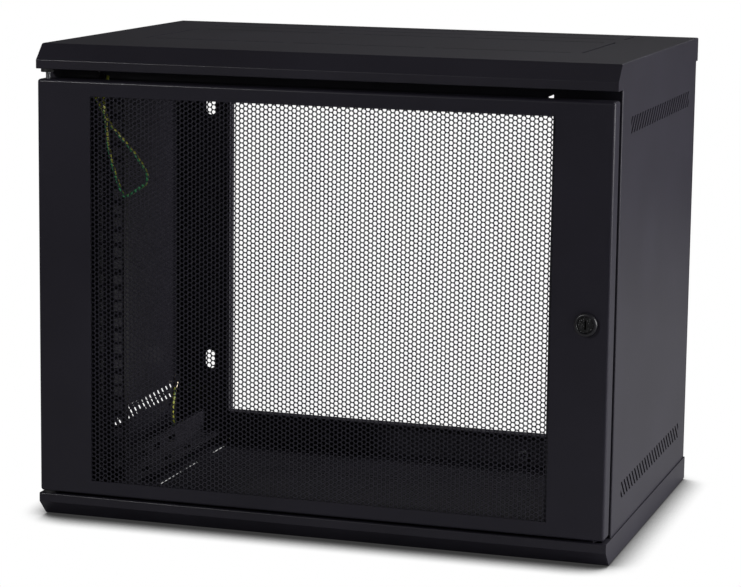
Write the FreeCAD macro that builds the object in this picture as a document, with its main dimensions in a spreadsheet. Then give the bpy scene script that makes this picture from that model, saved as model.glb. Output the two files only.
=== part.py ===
import FreeCAD, Part
import math
import os
import Sketcher

# Wall mount network cabinet, 9U, for 19-inch equipment: a flat-pack sheet-steel case with a
# perforated door hinged at the left.
# Frame: millimetres, +Z up, +X to the right seen from the front, front towards -Y.
# The origin is on the floor, under the middle of the whole cabinet, lock rim included.

Vector = FreeCAD.Vector
doc = FreeCAD.newDocument("wall_cabinet")

# ------------------------------------------------------------------ driving dimensions

SIZES = {
    # case
    "case_width": 600,
    "case_depth": 400,          # front lip to rear skirt
    "case_height": 490,
    "sheet": 1.2,               # folded steel sheet
    "lap_gap": 0.1,             # between sheets that lie on each other
    "side_play": 0.2,           # side panel inside the trays' skirts
    "bend_radius": 1.5,         # outside of a fold, trays and side panels
    "overshoot": 1,             # every cutting tool past the face that it cuts
    # top cover and base tray, one pan used twice
    "tray_drop": 25,            # height of the pan
    "tray_lip": 9,              # upright part of its front
    "bevel_setback": 16,
    "lip_return": 24,
    "knock_half": 235,          # half width of the knock-out plates
    "slit_width": 2.5,
    "micro_joint": 10,          # bridge that holds a knock-out plate
    "fan_front": 130,           # edges of the plates, behind the lip
    "fan_rear": 282,
    "entry_front": 329,
    "entry_rear": 374,
    # side panels and their front posts
    "post_setback": 28,         # front flange behind the lip
    "post_inner": 243,          # half of the clear front opening
    "post_return": 15,
    "side_rear_flange": 20,
    "side_foot": 18,
    "flange_relief": 3,
    "foot_stud_front": 40,      # studs on the trays, from the panel's two ends
    "foot_stud_rear": 50,
    # vents
    "vent_low": 55,             # lower edge of the lower band
    "vent_rise": 16.5,
    "vent_pitch": 12.4,
    "vent_slot": 3.6,
    "vent_count": 23,
    "vent_front": 68,           # first slot behind the lip
    # rear frame
    "rear_open_half": 235,
    "rear_sill": 38.5,
    "rear_return": 15,
    "wall_slot_x": 263,
    "wall_slot_rise": 149,      # above and below mid-height
    "wall_slot_width": 12,
    "wall_slot_length": 22,
    # front rails
    "front_sill": 35.5,
    "front_foot": 16,
    "front_hem": 12,
    "notch_run": 18.5,
    "notch_rise": 8.3,
    # depth brackets
    "bracket_base": 14,
    "bracket_inner": 240,
    "bracket_web": 265,
    "bracket_leg": 25,
    "bracket_sheet": 1.5,
    "bracket_slot": 7,
    "web_slot_pitch": 42,
    "web_slot_count": 6,
    "shelf_slot": 9,
    "shelf_slot_run": 13,
    "shelf_slot_start": 30,     # behind the rack rail's bolts
    "shelf_slot_pitch": 60,
    "shelf_slot_count": 5,
    "bolt_rise": 8,             # fixing bolts above the bracket's underside
    # rack rails
    "rack_setback": 50,         # rail face behind the lip
    "rack_clear_half": 225.5,
    "rack_column": 232.56,      # EIA-310 hole column from the middle
    "rack_unit": 44.45,
    "rack_units": 9,
    "rack_hole": 9.5,
    "rack_sheet": 1.5,
    "rack_flange": 32,
    "rack_hem": 11,
    "rack_bolt_first": 10,
    "rack_bolt_pitch": 14,
    # fasteners, M6
    "bolt_radius": 3,
    "bolt_hole": 3.3,
    "nut_across": 10,
    "nut_height": 5,
    "head_height": 2.8,
    "thread_end": 2,            # bolt end past its nut
    "stud_length": 12,
    # door
    "door_proud": 2,            # door face in front of the lip
    "door_side_gap": 2,
    "door_top_gap": 10,
    "door_bottom_gap": 3,
    "door_depth": 20,
    "door_bend": 3,             # outside of its folds
    "door_hem": 9,
    "stile_width": 57.7,
    "door_top_rail": 15.6,
    "door_bottom_rail": 14.8,
    "mesh_sheet": 1,
    "mesh_lap": 6,
    "mesh_pitch": 34,
    "mesh_hole": 28,            # hexagon across its flats
    # hinge
    "hinge_inset": 8,
    "pin_radius": 2.5,
    "running_fit": 0.05,
    "bush_radius": 7.5,
    "bush_body": 4.5,
    "bush_flange": 3.3,
    "bush_tail": 2,
    "bush_rest": 0.2,           # door above the lower bush
    "pin_end": 2,               # pins past their bushes
    "pin_head": 8,
    "collar_height": 3,
    "spring_length": 30,        # as fitted, door shut
    "spring_radius": 4.6,
    "spring_play": 0.25,        # between the spring and its pin
    "pin_chamfer": 1,
    "plunger_tail": 12,         # below its guide
    "finger_radius": 2,
    "finger_length": 22,
    "guide_leg": 18,
    # lock
    "lock_inset": 23,           # from the door's right edge
    "lock_level": 241,
    "lock_proud": 5,
    "rim_radius": 11.6,
    "rim_crown": 2.4,           # rounding of its outer edge
    "rim_chamfer": 0.6,         # at the mouth of the plug's bore
    "barrel_radius": 9.6,
    "plug_radius": 8.2,
    "plug_chamfer": 0.6,
    "lock_nut_across": 24,
    "cam_width": 14,
    "cam_reach": 25,
    "cam_sheet": 2,
    "cam_gap": 0.5,             # cam behind the post flange
    "lock_window_half": 17.5,
    "lock_window_rise": 32,
    "plug_inset": 1.2,          # plug face behind the rim
    "key_width": 1.6,
    "key_height": 9,
    "stem_square": 6,
    "cam_nut_height": 3.5,
    # earth leads
    "lead_radius": 1.7,
    "earth_stud_radius": 2.5,
    "earth_stud_length": 9,
    "earth_nut_across": 8,
    "earth_nut_height": 4,
    "terminal_ring": 5,
    "terminal_sheet": 0.8,
    "terminal_barrel": 2.3,
    "terminal_neck": 0.5,
    "terminal_length": 12.5,    # stud to the end of the barrel
    "earth_post_x": 252,        # studs: on the front posts,
    "earth_post_drop": 43,
    "earth_lid_x": 236,         # on the trays behind the front rail,
    "earth_lid_setback": 70,
    "earth_side_inset": 26,     # on the side panels and on the trays at the rear
    "earth_side_rise": 76,
    "earth_foot_x": 272,
    "earth_foot_inset": 28,
}

sheet_cells = doc.addObject("Spreadsheet::Sheet", "Sizes")
for row, (name, number) in enumerate(SIZES.items(), start=1):
    sheet_cells.set(f"A{row}", name)
    sheet_cells.set(f"B{row}", str(number))
    sheet_cells.setAlias(f"B{row}", name)
doc.recompute()

# Places worked out from the sizes. Each text names sizes, or places above it, in braces.
PLACES = {
    "rear": "({case_depth} + {door_proud} + {lock_proud}) / 2",
    "lip": "{rear} - {case_depth}",
    "half_width": "{case_width} / 2",
    "mid_height": "{case_height} / 2",
    "side_outer": "{half_width} - {sheet} - {side_play}",
    "post_face": "{lip} + {post_setback}",
    "post_back": "{post_face} + {sheet}",
    "rear_plate_back": "{rear} - {sheet} - {lap_gap}",
    "rear_plate_front": "{rear_plate_back} - {sheet}",
    "side_rear": "{rear_plate_front} - {lap_gap}",
    "side_bottom": "{sheet} + {lap_gap}",
    "side_top": "{case_height} - {sheet} - {lap_gap}",
    "foot_stud_x": "{side_outer} - {side_foot} / 2",
    "rear_stud_x": "{side_outer} - {side_rear_flange} / 2",
    "vent_reach": "{vent_slot} * sqrt(2)",
    "foot_stud_front_y": "{post_back} + {foot_stud_front}",
    "foot_stud_rear_y": "{side_rear} - {foot_stud_rear}",
    "rail_stud_x": "{knock_half} / 2",
    "rail_stud_y": "{post_back} + {front_foot} / 2",
    "skirt_stud_level": "({tray_drop} + {sheet}) / 2",
    "side_screw_level": "{mid_height} / 4",
    "web_level": "{bracket_base} + {bracket_leg} / 2",
    "bolt_level": "{bracket_base} + {bolt_rise}",
    "bracket_bolt_x": "({post_inner} + {bracket_web}) / 2",
    "bracket_front": "{post_back} + {lap_gap}",
    "bracket_rear": "{rear_plate_front} - {lap_gap}",
    "web_inner": "{bracket_web} - {bracket_sheet}",
    "rack_face": "{lip} + {rack_setback}",
    "rack_outer": "{web_inner} - {lap_gap}",
    "rack_bottom": "{bracket_base} + {bracket_sheet} + {lap_gap}",
    "rack_first": "{mid_height} - {rack_units} * {rack_unit} / 2",
    "rack_bolt_a": "{rack_face} + {rack_bolt_first}",
    "rack_bolt_b": "{rack_bolt_a} + {rack_bolt_pitch}",
    "door_front": "{lip} - {door_proud}",
    "door_back": "{door_front} + {door_depth}",
    "door_half": "{half_width} - {door_side_gap}",
    "door_bottom": "{tray_drop} + {door_bottom_gap}",
    "door_top": "{case_height} - {tray_drop} - {door_top_gap}",
    "window_half": "{door_half} - {stile_width}",
    "window_bottom": "{door_bottom} + {door_bottom_rail}",
    "window_top": "{door_top} - {door_top_rail}",
    "mesh_half": "{window_half} + {mesh_lap}",
    "mesh_front": "{door_front} + {sheet}",
    "hinge_x": "{door_half} - {hinge_inset}",
    "hinge_y": "{door_front} + {door_depth} / 2",
    "lid_edge": "{case_height} - {tray_drop}",
    "lock_x": "{door_half} - {lock_inset}",
    "cam_front": "{post_back} + {cam_gap}",
    "lock_reach": "{cam_front} - {door_front}",
    "plunger_top": "{lid_edge} + {sheet} + {bush_tail} + {pin_end}",
    "collar_top": "{door_top} - {sheet} - {lap_gap}",
    "spring_top": "{collar_top} - {collar_height}",
    "guide_top": "{spring_top} - {spring_length}",
    "guide_bottom": "{guide_top} - {bracket_sheet}",
    "plunger_foot": "{guide_bottom} - {plunger_tail}",
    "guide_half": "{hinge_inset} - {door_bend}",
    "earth_lid_y": "{lip} + {earth_lid_setback}",
    "earth_side_y": "{rear} - {earth_side_inset}",
    "earth_foot_y": "{rear} - {earth_foot_inset}",
}


def rule(text):
    """Expand the names in braces to cells of the Sizes sheet, for setExpression."""
    while "{" in text:
        start = text.index("{")
        end = text.index("}", start)
        name = text[start + 1:end]
        expanded = f"({PLACES[name]})" if name in PLACES else f"Sizes.{name}"
        text = text[:start] + expanded + text[end + 1:]
    return text


def value(text):
    """The number that a rule gives with the sheet as it stands."""
    result = sheet_cells.evalExpression(rule(text))
    return float(result.Value) if hasattr(result, "Value") else float(result)


# ------------------------------------------------------------------ modelling helpers

NODES = []                      # the sub-parts that are written, in order


def node(feature, name):
    feature.Label = name
    NODES.append(feature)
    return feature


def new_body(name):
    return node(doc.addObject("PartDesign::Body", name), name)


def new_sketch(body, role, offset="0"):
    """A sketch on one of the body's origin planes, moved along the plane's normal."""
    sketch = body.newObject("Sketcher::SketchObject", "sketch")
    plane = next(item for item in body.Origin.OriginFeatures if item.Role == role)
    sketch.AttachmentSupport = [(plane, "")]
    sketch.MapMode = "FlatFace"
    sketch.setExpression("AttachmentOffset.Base.z", rule(offset))
    return sketch


def fix_point(sketch, geometry, point, x, y):
    """Dimension a point from the sketch's origin, both ways, from the sheet."""
    for kind, text in (("DistanceX", x), ("DistanceY", y)):
        index = sketch.addConstraint(
            Sketcher.Constraint(kind, -1, 1, geometry, point, value(text)))
        sketch.setExpression(f"Constraints[{index}]", rule(text))


def outline(sketch, corners):
    """A closed polygon through the corners, each a pair of rules."""
    first = sketch.GeometryCount
    spots = [Vector(value(x), value(y), 0) for x, y in corners]
    count = len(corners)
    for index in range(count):
        sketch.addGeometry(Part.LineSegment(spots[index], spots[(index + 1) % count]))
    for index in range(count):
        following = first + (index + 1) % count
        sketch.addConstraint(Sketcher.Constraint("Coincident", first + index, 2, following, 1))
    for index, (x, y) in enumerate(corners):
        fix_point(sketch, first + index, 1, x, y)
    return sketch


def rectangle(sketch, low_x, high_x, low_y, high_y):
    return outline(sketch, [(low_x, low_y), (high_x, low_y), (high_x, high_y), (low_x, high_y)])


def circle(sketch, x, y, radius):
    index = sketch.addGeometry(
        Part.Circle(Vector(value(x), value(y), 0), Vector(0, 0, 1), value(radius)))
    fix_point(sketch, index, 3, x, y)
    size = sketch.addConstraint(Sketcher.Constraint("Radius", index, value(radius)))
    sketch.setExpression(f"Constraints[{size}]", rule(radius))
    return sketch


def slot(sketch, start, end, radius):
    """A round-ended slot between two centres that lie on a horizontal or vertical line."""
    first = sketch.GeometryCount
    a = Vector(value(start[0]), value(start[1]), 0)
    b = Vector(value(end[0]), value(end[1]), 0)
    r = value(radius)
    along = (b - a).normalize()
    side = Vector(-along.y, along.x, 0) * r
    heading = math.atan2(along.y, along.x)
    quarter = math.pi / 2
    axis = Vector(0, 0, 1)
    sketch.addGeometry(Part.ArcOfCircle(Part.Circle(a, axis, r), heading + quarter,
                                        heading + 3 * quarter))
    sketch.addGeometry(Part.LineSegment(a - side, b - side))
    sketch.addGeometry(Part.ArcOfCircle(Part.Circle(b, axis, r), heading - quarter,
                                        heading + quarter))
    sketch.addGeometry(Part.LineSegment(b + side, a + side))
    joints = ((0, 2, 1, 1), (1, 2, 2, 1), (2, 2, 3, 1), (3, 2, 0, 1))
    for one, one_end, other, other_end in joints:
        sketch.addConstraint(Sketcher.Constraint("Tangent", first + one, one_end,
                                                 first + other, other_end))
    fix_point(sketch, first, 3, *start)
    size = sketch.addConstraint(Sketcher.Constraint("Radius", first, r))
    sketch.setExpression(f"Constraints[{size}]", rule(radius))
    along_x = abs(along.x) > abs(along.y)
    kind, text = ("DistanceX", end[0]) if along_x else ("DistanceY", end[1])
    index = sketch.addConstraint(Sketcher.Constraint(kind, -1, 1, first + 2, 3, value(text)))
    sketch.setExpression(f"Constraints[{index}]", rule(text))
    return sketch


def pad(body, sketch, length, midplane=False):
    feature = body.newObject("PartDesign::Pad", "pad")
    feature.Profile = sketch
    feature.setExpression("Length", rule(length))
    feature.Midplane = midplane
    return feature


def cut(body, sketch, length, midplane=False):
    """Pocket against the sketch's normal; it must take material away."""
    doc.recompute()
    before = body.Shape.Volume
    feature = body.newObject("PartDesign::Pocket", "cut")
    feature.Profile = sketch
    feature.setExpression("Length", rule(length))
    feature.Midplane = midplane
    doc.recompute()
    if body.Shape.Volume >= before:
        raise RuntimeError(f"{body.Label}: a pocket cuts nothing")
    return feature


def repeat(body, feature, sketch, axis, pitch, count):
    """Linear pattern of a feature along an axis of its own sketch."""
    pattern = body.newObject("PartDesign::LinearPattern", "pattern")
    pattern.Originals = [feature]
    pattern.Direction = (sketch, [axis])
    pattern.setExpression("Length", rule(f"({count} - 1) * {pitch}"))
    pattern.setExpression("Occurrences", rule(count))
    body.Tip = pattern
    doc.recompute()
    return pattern


def bend(body, radius, *places):
    """Round each edge of which every end lies at one of the places.

    A place gives rules for some of x, y and z, such as {"x": ..., "y": ...}.
    """
    doc.recompute()
    base = body.Tip
    wanted = [{axis: value(text) for axis, text in place.items()} for place in places]
    names = []
    for index, edge in enumerate(base.Shape.Edges, start=1):
        for place in wanted:
            if all(abs(getattr(end.Point, axis) - number) < 1e-6
                   for end in edge.Vertexes for axis, number in place.items()):
                names.append(f"Edge{index}")
    rounding = body.newObject("PartDesign::Fillet", "bend")
    rounding.Base = (base, names)
    rounding.setExpression("Radius", rule(radius))
    doc.recompute()
    return rounding


def shell(body, thickness, axis, level):
    """Hollow the body to a sheet, open at the flat face that lies at this level."""
    doc.recompute()
    solid = body.Tip
    mouth = next(f"Face{index}" for index, face in enumerate(solid.Shape.Faces, start=1)
                 if abs(getattr(face.CenterOfMass, axis) - value(level)) < 1e-6)
    hollow = body.newObject("PartDesign::Thickness", "shell")
    hollow.Base = (solid, [mouth])
    hollow.setExpression("Value", rule(thickness))
    hollow.Reversed = True
    hollow.Join = 1
    doc.recompute()
    return hollow


def turn_over(body):
    """Half a turn about the Y axis at mid-height: the same part, used upside down."""
    body.Placement = FreeCAD.Placement(Vector(0, 0, value("{case_height}")),
                                       FreeCAD.Rotation(Vector(0, 1, 0), 180))
    body.setExpression(".Placement.Base.z", rule("{case_height}"))


def mirror_x(corners, side):
    """The same corners on the left (side -1) or right (side 1)."""
    return [(f"{side} * ({x})", y) for x, y in corners]


# ------------------------------------------------------------------ case

def make_tray(name, turned):
    """Base tray, or the same pan turned over as the top cover."""
    body = new_body(name)
    profile = new_sketch(body, "YZ_Plane")
    outline(profile, [
        ("{lip} + {bevel_setback}", "0"),
        ("{rear}", "0"),
        ("{rear}", "{tray_drop}"),
        ("{lip}", "{tray_drop}"),
        ("{lip}", "{tray_drop} - {tray_lip}"),
    ])
    pad(body, profile, "{case_width}", midplane=True)
    shell(body, "{sheet}", "z", "{tray_drop}")

    lip_return = new_sketch(body, "XY_Plane", "{tray_drop} - {sheet}")
    rectangle(lip_return, "-({half_width} - {sheet} / 2)", "{half_width} - {sheet} / 2",
              "{lip} + {sheet} / 2", "{lip} + {lip_return}")
    pad(body, lip_return, "{sheet}")
    bend(body, "{bend_radius}", {"z": "0"}, {"y": "{lip}", "z": "{tray_drop} - {tray_lip}"},
         {"y": "{lip}", "z": "{tray_drop}"})

    bush_holes = new_sketch(body, "XY_Plane", "{tray_drop} + {overshoot}")
    for side in (-1, 1):
        circle(bush_holes, f"{side} * {{hinge_x}}", "{hinge_y}", "{bush_body} + {lap_gap}")
    cut(body, bush_holes, "{sheet} + 2 * {overshoot}")

    studs = new_sketch(body, "XY_Plane", "{sheet} / 2")
    for side in (-1, 1):
        for along in ("{foot_stud_front_y}", "{foot_stud_rear_y}"):
            circle(studs, f"{side} * {{foot_stud_x}}", along, "{bolt_radius}")
        circle(studs, f"{side} * {{rail_stud_x}}", "{rail_stud_y}", "{bolt_radius}")
    pad(body, studs, "{sheet} / 2 + {stud_length}")

    rear_studs = new_sketch(body, "XZ_Plane", "-({rear} - {sheet} / 2)")
    for side in (-1, 1):
        circle(rear_studs, f"{side} * {{rail_stud_x}}", "{skirt_stud_level}", "{bolt_radius}")
    pad(body, rear_studs, "{sheet} / 2 + {stud_length}")

    earth_studs = new_sketch(body, "XY_Plane", "{sheet} / 2")
    circle(earth_studs, "{earth_lid_x}", "{earth_lid_y}", "{earth_stud_radius}")
    circle(earth_studs, "-{earth_foot_x}", "{earth_foot_y}", "{earth_stud_radius}")
    pad(body, earth_studs, "{sheet} / 2 + {earth_stud_length}")

    slits = new_sketch(body, "XY_Plane", "{sheet} + {overshoot}")
    for front, back in (("{fan_front}", "{fan_rear}"), ("{entry_front}", "{entry_rear}")):
        add_plate_slits(slits, f"{{lip}} + {front}", f"{{lip}} + {back}")
    cut(body, slits, "{sheet} + 2 * {overshoot}")
    if turned:
        turn_over(body)


def add_plate_slits(sketch, front, back):
    """The slits round one knock-out plate: one at each side, three along each long edge."""
    for side in (-1, 1):
        near, far = f"{side} * {{knock_half}}", f"{side} * ({{knock_half}} - {{slit_width}})"
        low_x, high_x = (near, far) if side < 0 else (far, near)
        rectangle(sketch, low_x, high_x, front, back)
    inner = "({knock_half} - {slit_width} - {micro_joint})"
    run = f"(2 * {inner} - 2 * {{micro_joint}}) / 3"
    for edge in (front, f"{back} - {{slit_width}}"):
        for index in range(3):
            low_x = f"-{inner} + {index} * ({run} + {{micro_joint}})"
            rectangle(sketch, low_x, f"{low_x} + {run}", edge, f"{edge} + {{slit_width}}")


def make_side_panel(name, turned):
    """Right side panel with its folded front post; turned over, the left one."""
    body = new_body(name)
    plan = new_sketch(body, "XY_Plane", "{side_bottom}")
    outline(plan, [
        ("{side_outer} - {side_rear_flange}", "{side_rear}"),
        ("{side_outer} - {side_rear_flange}", "{side_rear} - {sheet}"),
        ("{side_outer} - {sheet}", "{side_rear} - {sheet}"),
        ("{side_outer} - {sheet}", "{post_back}"),
        ("{post_inner} + {sheet}", "{post_back}"),
        ("{post_inner} + {sheet}", "{post_face} + {post_return}"),
        ("{post_inner}", "{post_face} + {post_return}"),
        ("{post_inner}", "{post_face}"),
        ("{side_outer}", "{post_face}"),
        ("{side_outer}", "{side_rear}"),
    ])
    pad(body, plan, "{side_top} - {side_bottom}")
    bend(body, "{bend_radius}", {"x": "{side_outer}", "y": "{post_face}"},
         {"x": "{side_outer}", "y": "{side_rear}"}, {"x": "{post_inner}", "y": "{post_face}"})

    for level in ("{side_bottom}", "{side_top} - {sheet}"):
        foot = new_sketch(body, "XY_Plane", level)
        rectangle(foot, "{side_outer} - {side_foot}", "{side_outer} - {sheet} / 2",
                  "{post_back} + {flange_relief}", "{side_rear} - {sheet} - {flange_relief}")
        pad(body, foot, "{sheet}")

    feet_holes = new_sketch(body, "XY_Plane", "{side_top} + {overshoot}")
    for along in ("{foot_stud_front_y}", "{foot_stud_rear_y}"):
        circle(feet_holes, "{foot_stud_x}", along, "{bolt_hole}")
    cut(body, feet_holes, "{case_height}")

    rear_holes = new_sketch(body, "XZ_Plane", "-({side_rear} - {sheet} - {overshoot})")
    for level in ("{side_screw_level}", "{mid_height}", "{case_height} - {side_screw_level}"):
        circle(rear_holes, "{rear_stud_x}", level, "{bolt_hole}")
    cut(body, rear_holes, "{sheet} + 2 * {overshoot}")

    post_holes = new_sketch(body, "XZ_Plane", "-({post_face} - {overshoot})")
    for level in ("{bolt_level}", "{case_height} - {bolt_level}"):
        circle(post_holes, "{bracket_bolt_x}", level, "{bolt_hole}")
    rectangle(post_holes, "{lock_x} - {lock_window_half}", "{lock_x} + {lock_window_half}",
              "{lock_level} - {lock_window_rise}", "{lock_level} + {lock_window_rise}")
    cut(body, post_holes, "{sheet} + 2 * {overshoot}")

    post_studs = new_sketch(body, "XZ_Plane", "-({post_face} + {sheet} / 2)")
    for level in ("{earth_post_drop}", "{case_height} - {earth_post_drop}"):
        circle(post_studs, "{earth_post_x}", level, "{earth_stud_radius}")
    pad(body, post_studs, "{sheet} / 2 + {earth_stud_length}")

    side_stud = new_sketch(body, "YZ_Plane",
                           "{side_outer} - {sheet} - {earth_stud_length}")
    circle(side_stud, "{earth_side_y}", "{case_height} - {earth_side_rise}",
           "{earth_stud_radius}")
    pad(body, side_stud, "{sheet} / 2 + {earth_stud_length}")

    add_vents(body, "{vent_low}", leaning_back=False)
    add_vents(body, "{case_height} - {vent_low} - {vent_rise}", leaning_back=True)
    if turned:
        turn_over(body)


def add_vents(body, low, leaning_back):
    """A band of slots at 45 degrees, cut square at both ends of its field."""
    high = f"{low} + {{vent_rise}}"
    front = "{lip} + {vent_front}"
    back = f"{front} + ({{vent_count}} - 1) * {{vent_pitch}} + {{vent_rise}} + {{vent_reach}}"
    foot, head = (low, high) if leaning_back else (high, low)
    rise = 1 if leaning_back else -1

    one = new_sketch(body, "YZ_Plane", "{side_outer} + {overshoot}")
    outline(one, [
        (front, foot),
        (f"{front} + {{vent_reach}}", foot),
        (f"{front} + {{vent_reach}} + {{vent_rise}}", head),
        (f"{front} + {{vent_rise}}", head),
    ])
    first = cut(body, one, "{sheet} + 2 * {overshoot}")
    repeat(body, first, one, "H_Axis", "{vent_pitch}", "{vent_count}")

    ends = new_sketch(body, "YZ_Plane", "{side_outer} + {overshoot}")
    short = "({vent_pitch} - {vent_reach})"
    outline(ends, [
        (front, f"{foot} + {rise} * {short}"),
        (f"{front} + {{vent_rise}} - {short}", head),
        (f"{front} + {{vent_rise}} - {{vent_pitch}}", head),
        (front, f"{foot} + {rise} * {{vent_pitch}}"),
    ])
    outline(ends, [
        (back, f"{head} - {rise} * {short}"),
        (f"{back} - {{vent_rise}} + {short}", foot),
        (f"{back} - {{vent_rise}} + {{vent_pitch}}", foot),
        (back, f"{head} - {rise} * {{vent_pitch}}"),
    ])
    cut(body, ends, "{sheet} + 2 * {overshoot}")


def make_rear_frame():
    """Plate with a large cable window, returns folded forwards and four wall slots."""
    body = new_body("rear_frame")
    window = ("-{rear_open_half}", "{rear_open_half}", "{rear_sill}",
              "{case_height} - {rear_sill}")
    plate = new_sketch(body, "XZ_Plane", "-{rear_plate_back}")
    rectangle(plate, "-{side_outer}", "{side_outer}", "{side_bottom}", "{side_top}")
    rectangle(plate, *window)
    pad(body, plate, "{sheet}")

    fold = new_sketch(body, "XZ_Plane", "-({rear_plate_back} - {sheet} / 2)")
    rectangle(fold, *window)
    rectangle(fold, "-{rear_open_half} - {sheet}", "{rear_open_half} + {sheet}",
              "{rear_sill} - {sheet}", "{case_height} - {rear_sill} + {sheet}")
    pad(body, fold, "{rear_return} - {sheet} / 2")

    slots = new_sketch(body, "XZ_Plane", "-({rear_plate_front} - {overshoot})")
    half_run = "({wall_slot_length} - {wall_slot_width}) / 2"
    for side in (-1, 1):
        for level in ("{mid_height} - {wall_slot_rise}", "{mid_height} + {wall_slot_rise}"):
            x = f"{side} * {{wall_slot_x}}"
            slot(slots, (x, f"{level} - {half_run}"), (x, f"{level} + {half_run}"),
                 "{wall_slot_width} / 2")
        for level in ("{skirt_stud_level}", "{case_height} - {skirt_stud_level}"):
            circle(slots, f"{side} * {{rail_stud_x}}", level, "{bolt_hole}")
    cut(body, slots, "{sheet} + 2 * {overshoot}")

    studs = new_sketch(body, "XZ_Plane", "-({rear_plate_back} - {sheet} / 2)")
    for side in (-1, 1):
        for level in ("{side_screw_level}", "{mid_height}",
                      "{case_height} - {side_screw_level}"):
            circle(studs, f"{side} * {{rear_stud_x}}", level, "{bolt_radius}")
        for level in ("{bolt_level}", "{case_height} - {bolt_level}"):
            circle(studs, f"{side} * {{bracket_bolt_x}}", level, "{bolt_radius}")
    pad(body, studs, "{stud_length}")


def make_front_rail(name, turned):
    """Channel across the front between the posts, its corners notched for the rack rails."""
    body = new_body(name)
    profile = new_sketch(body, "YZ_Plane")
    outline(profile, [
        ("{post_face}", "{side_bottom}"),
        ("{post_face} + {front_foot}", "{side_bottom}"),
        ("{post_face} + {front_foot}", "{side_bottom} + {sheet}"),
        ("{post_back}", "{side_bottom} + {sheet}"),
        ("{post_back}", "{front_sill} - {sheet}"),
        ("{post_face} + {front_hem}", "{front_sill} - {sheet}"),
        ("{post_face} + {front_hem}", "{front_sill}"),
        ("{post_face}", "{front_sill}"),
    ])
    pad(body, profile, "2 * ({post_inner} - {lap_gap})", midplane=True)
    notches = new_sketch(body, "XZ_Plane", "-({post_face} - {overshoot})")
    for side in (-1, 1):
        outline(notches, mirror_x([
            ("{post_inner} - {notch_run}", "{front_sill}"),
            ("{post_inner} + {overshoot}", "{front_sill} + {overshoot}"),
            ("{post_inner} + {overshoot}", "{front_sill} - {notch_rise}"),
            ("{post_inner}", "{front_sill} - {notch_rise}"),
        ], side))
    cut(body, notches, "{front_foot} + 2 * {overshoot}")

    foot_holes = new_sketch(body, "XY_Plane", "{side_bottom} + {sheet} + {overshoot}")
    for side in (-1, 1):
        circle(foot_holes, f"{side} * {{rail_stud_x}}", "{rail_stud_y}", "{bolt_hole}")
    cut(body, foot_holes, "{sheet} + 2 * {overshoot}")
    if turned:
        turn_over(body)


def make_depth_bracket(name, side, turned):
    """Slotted angle from the front post to the rear frame; it carries a rack rail's end."""
    body = new_body(name)
    web_face = new_sketch(body, "XZ_Plane", "-{bracket_rear}")
    rectangle_x(web_face, side, "{web_inner}", "{bracket_web}", "{bracket_base}",
                "{bracket_base} + {bracket_leg}")
    pad(body, web_face, "{bracket_rear} - {bracket_front}")

    shelf = new_sketch(body, "XZ_Plane", "-{bracket_rear}")
    rectangle_x(shelf, side, "{bracket_inner}", "{web_inner} + {bracket_sheet} / 2",
                "{bracket_base}", "{bracket_base} + {bracket_sheet}")
    pad(body, shelf, "{bracket_rear} - {post_face} - {post_return} - {lap_gap}")

    for tab_back in ("{bracket_front} + {bracket_sheet}", "{bracket_rear}"):
        tab = new_sketch(body, "XZ_Plane", f"-({tab_back})")
        rectangle_x(tab, side, "{post_inner} + {sheet} + {lap_gap}",
                    "{web_inner} + {bracket_sheet} / 2", "{bracket_base}",
                    "{bracket_base} + {bracket_leg}")
        pad(body, tab, "{bracket_sheet}")

    holes = new_sketch(body, "XZ_Plane", "-({bracket_front} - {overshoot})")
    circle(holes, f"{side} * {{bracket_bolt_x}}", "{bolt_level}", "{bolt_hole}")
    cut(body, holes, "{case_depth}")

    web_slot = new_sketch(body, "YZ_Plane", f"{side} * {{bracket_web}} + 2 * {{overshoot}}")
    slot(web_slot, ("{rack_bolt_a}", "{web_level}"), ("{rack_bolt_b}", "{web_level}"),
         "{bracket_slot} / 2")
    first = cut(body, web_slot, "{bracket_sheet} + 4 * {overshoot}")
    repeat(body, first, web_slot, "H_Axis", "{web_slot_pitch}", "{web_slot_count}")

    shelf_slot = new_sketch(body, "XY_Plane", "{bracket_base} + {bracket_sheet} + {overshoot}")
    middle = f"{side} * ({{bracket_inner}} + {{web_inner}}) / 2"
    slot_start = "{rack_bolt_b} + {shelf_slot_start}"
    slot(shelf_slot, (middle, slot_start), (middle, slot_start + " + {shelf_slot_run}"),
         "{shelf_slot} / 2")
    second = cut(body, shelf_slot, "{bracket_sheet} + 2 * {overshoot}")
    repeat(body, second, shelf_slot, "V_Axis", "{shelf_slot_pitch}", "{shelf_slot_count}")
    if turned:
        turn_over(body)


def rectangle_x(sketch, side, inner, outer, low, high):
    """A rectangle given for the right side, drawn on either side."""
    near, far = f"{side} * ({inner})", f"{side} * ({outer})"
    low_x, high_x = (near, far) if side > 0 else (far, near)
    return rectangle(sketch, low_x, high_x, low, high)


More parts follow.
